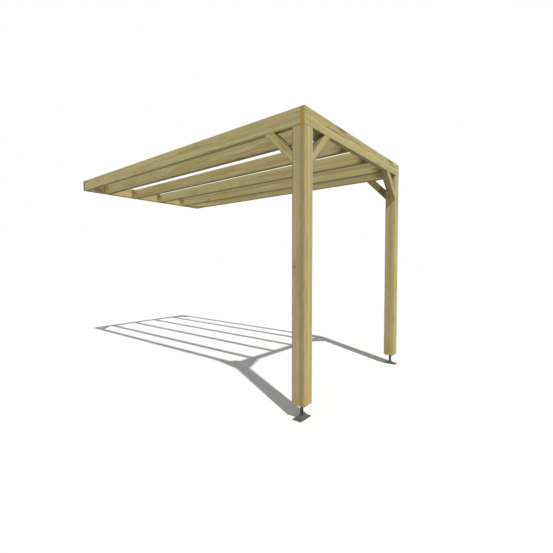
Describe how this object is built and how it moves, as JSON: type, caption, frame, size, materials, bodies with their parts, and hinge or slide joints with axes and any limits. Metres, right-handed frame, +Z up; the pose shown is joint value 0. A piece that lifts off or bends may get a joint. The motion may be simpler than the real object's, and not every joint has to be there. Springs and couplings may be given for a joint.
{
  "type": "lean-to pergola",
  "caption": "Open timber lean-to pergola: rafters between a front beam on posts with steel feet and a plate fixed to a wall, braced at the corners.",
  "frame": {"origin": "centre of the wall plate's back face, which lies flat on the wall", "axes": "+X to the right seen from the front, +Y into the wall, +Z up; the ground is 2.4475 m below the origin"},
  "size_m": [2.147, 4.017, 2.52],
  "materials": {
    "beam_pine": "planed, pressure-treated pine with a green tint",
    "rafter_pine": "planed, pressure-treated pine with a green tint",
    "post_pine": "planed, pressure-treated laminated pine",
    "brace_pine": "planed, pressure-treated pine with a green tint",
    "foot_steel": "dark grey, satin"
  },
  "bodies": {
    "root": {"wall_plate": "beam_pine", "front_beam": "beam_pine", "side_beam_left": "beam_pine", "side_beam_right": "beam_pine", "rafter_1": "rafter_pine", "rafter_2": "rafter_pine", "rafter_3": "rafter_pine", "rafter_4": "rafter_pine", "post_left": "post_pine", "post_right": "post_pine", "knee_brace_side_left": "brace_pine", "knee_brace_side_right": "brace_pine", "knee_brace_front_left": "brace_pine", "knee_brace_front_right": "brace_pine", "wall_brace_left": "brace_pine", "wall_brace_right": "brace_pine", "foot_base_left": "foot_steel", "foot_base_right": "foot_steel", "foot_stem_left": "foot_steel", "foot_stem_right": "foot_steel", "foot_head_left": "foot_steel", "foot_head_right": "foot_steel"}
  },
  "joints": []
}
